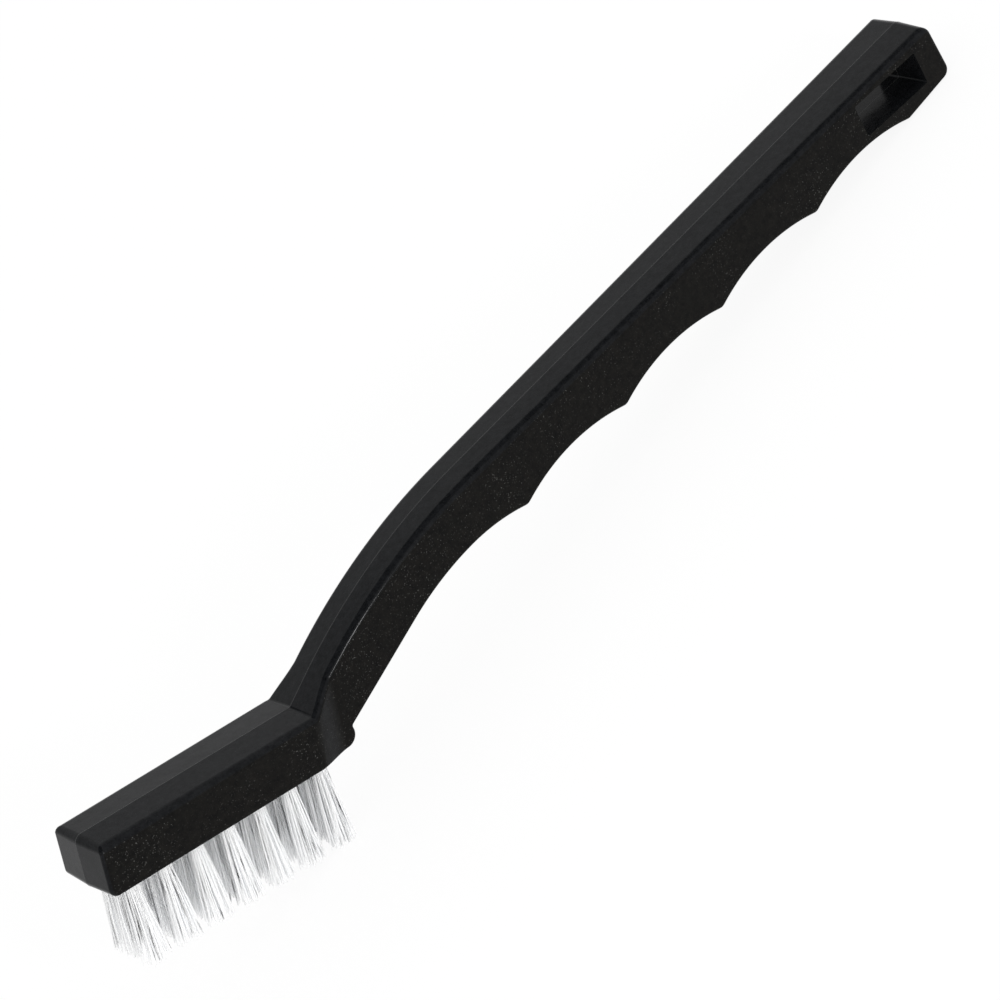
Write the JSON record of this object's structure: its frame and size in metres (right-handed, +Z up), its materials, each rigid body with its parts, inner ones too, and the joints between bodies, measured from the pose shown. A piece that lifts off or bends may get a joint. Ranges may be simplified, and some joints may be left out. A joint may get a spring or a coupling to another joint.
{
  "type": "utility brush",
  "caption": "Small utility brush: bent one-piece black plastic handle with finger scallops and a hang hole, and rows of white nylon tufts set in its head.",
  "frame": {"origin": "centre of the bounding box in plan, on the surface that the brush lies on", "axes": "+Z up as the brush lies on a table; +X along the brush in plan, from its head to its tail; +Y across the handle"},
  "size_m": [0.1832, 0.0126, 0.0346],
  "materials": {
    "handle_plastic": "moulded black polypropylene, satin, with fine pale speckle on its sides",
    "bristle_nylon": "translucent white nylon monofilament",
    "anchor_wire": "plain drawn flat wire"
  },
  "bodies": {
    "root": {"handle": "handle_plastic", "tuft_a1": "bristle_nylon", "tuft_a2": "bristle_nylon", "tuft_a3": "bristle_nylon", "tuft_a4": "bristle_nylon", "tuft_a5": "bristle_nylon", "tuft_a6": "bristle_nylon", "tuft_a7": "bristle_nylon", "tuft_b1": "bristle_nylon", "tuft_b2": "bristle_nylon", "tuft_b3": "bristle_nylon", "tuft_b4": "bristle_nylon", "tuft_b5": "bristle_nylon", "tuft_b6": "bristle_nylon", "tuft_b7": "bristle_nylon", "tuft_c1": "bristle_nylon", "tuft_c2": "bristle_nylon", "tuft_c3": "bristle_nylon", "tuft_c4": "bristle_nylon", "tuft_c5": "bristle_nylon", "tuft_c6": "bristle_nylon", "tuft_c7": "bristle_nylon", "anchor_a1": "anchor_wire", "anchor_a2": "anchor_wire", "anchor_a3": "anchor_wire", "anchor_a4": "anchor_wire", "anchor_a5": "anchor_wire", "anchor_a6": "anchor_wire", "anchor_a7": "anchor_wire", "anchor_b1": "anchor_wire", "anchor_b2": "anchor_wire", "anchor_b3": "anchor_wire", "anchor_b4": "anchor_wire", "anchor_b5": "anchor_wire", "anchor_b6": "anchor_wire", "anchor_b7": "anchor_wire", "anchor_c1": "anchor_wire", "anchor_c2": "anchor_wire", "anchor_c3": "anchor_wire", "anchor_c4": "anchor_wire", "anchor_c5": "anchor_wire", "anchor_c6": "anchor_wire", "anchor_c7": "anchor_wire"}
  },
  "joints": []
}
